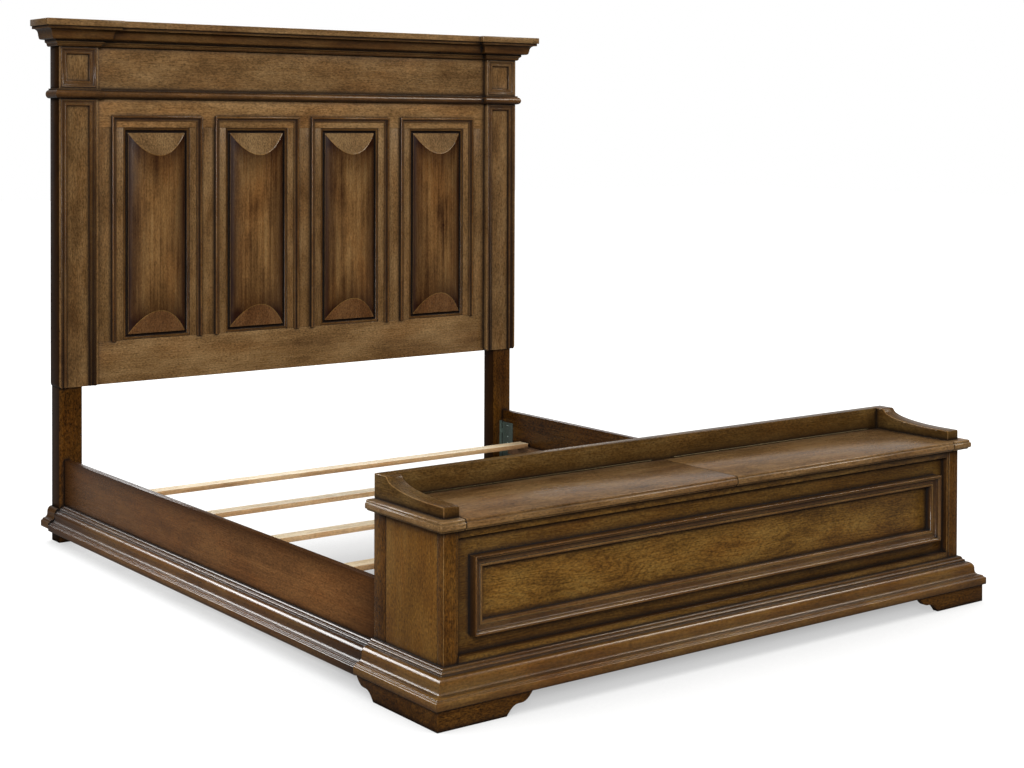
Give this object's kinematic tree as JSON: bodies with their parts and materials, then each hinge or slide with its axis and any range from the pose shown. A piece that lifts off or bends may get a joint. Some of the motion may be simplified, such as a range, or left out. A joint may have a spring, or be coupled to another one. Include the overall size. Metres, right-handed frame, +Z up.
{
  "type": "bed with blanket chest footboard",
  "caption": "Panelled wooden bed with a crown-moulded headboard, slatted base and a lidded blanket chest as its footboard.",
  "frame": {"origin": "on the floor, under the middle of the bed's bounding box", "axes": "+X across the bed, to the right as seen from the chest's front; +Y along the bed from the chest to the headboard; +Z up"},
  "size_m": [2.198, 2.561, 1.896],
  "materials": {
    "walnut": "brown stain with a greyish glaze under satin lacquer",
    "walnut_moulding": "brown stain, darker glaze in the hollows, satin lacquer",
    "walnut_panel": "brown stain under satin lacquer, upright grain",
    "walnut_shadow": "darker brown stain, satin",
    "pine": "bare planed softwood, matte",
    "ledger_wood": "stained softwood, matte",
    "zinc_steel": "zinc plated, satin",
    "bronzed_brass": "antiqued, satin"
  },
  "bodies": {
    "bed_frame": {"headboard_leg_left": "walnut_shadow", "headboard_leg_right": "walnut_shadow", "pilaster_left": "walnut", "pilaster_right": "walnut", "pilaster_mouldings": "walnut_moulding", "cornice_cap": "walnut", "cornice_crown": "walnut_moulding", "frieze_board": "walnut", "bead_band": "walnut_moulding", "headboard_top_rail": "walnut", "headboard_bottom_rail": "walnut", "headboard_stiles": "walnut", "raised_panel_1": "walnut_panel", "raised_panel_2": "walnut_panel", "raised_panel_3": "walnut_panel", "raised_panel_4": "walnut_panel", "panel_mouldings": "walnut_moulding", "panel_beads": "walnut_moulding", "side_rail_left": "walnut", "side_rail_right": "walnut", "rail_moulding_left": "walnut_moulding", "rail_moulding_right": "walnut_moulding", "leg_mouldings": "walnut_moulding", "slat_ledgers": "ledger_wood", "rail_brackets": "zinc_steel", "bracket_keepers": "zinc_steel", "wood_screws": "zinc_steel", "slat_1": "pine", "slat_2": "pine", "slat_3": "pine", "slat_4": "pine", "slat_5": "pine", "chest_front_post_left": "walnut", "chest_front_post_right": "walnut", "chest_rear_post_left": "walnut", "chest_rear_post_right": "walnut", "chest_end_panel_left": "walnut", "chest_end_panel_right": "walnut", "chest_front_board": "walnut", "chest_top_rail": "walnut", "chest_sill": "walnut", "chest_panel_moulding": "walnut_moulding", "chest_back": "walnut_shadow", "chest_bottom": "pine", "chest_divider": "pine", "chest_top_end_left": "walnut", "chest_top_end_right": "walnut", "gallery_back": "walnut", "gallery_end_left": "walnut", "gallery_end_right": "walnut", "hinge_fixed_leaves": "bronzed_brass", "hinge_pins": "bronzed_brass", "chest_base_moulding": "walnut_moulding", "front_foot_left": "walnut_shadow", "front_foot_right": "walnut_shadow"},
    "left_lid": {"lid_left": "walnut", "hinge_lid_leaf_left": "bronzed_brass"},
    "right_lid": {"lid_right": "walnut", "hinge_lid_leaf_right": "bronzed_brass"}
  },
  "joints": [
    {"name": "left_lid_hinge", "type": "hinge", "parent": "bed_frame", "child": "left_lid", "pos_m": [-0.4745, -0.9205, 0.518], "axis": [-1, 0, 0], "range_deg": [0, 93]},
    {"name": "right_lid_hinge", "type": "hinge", "parent": "bed_frame", "child": "right_lid", "pos_m": [0.4745, -0.9205, 0.518], "axis": [-1, 0, 0], "range_deg": [0, 93]}
  ]
}
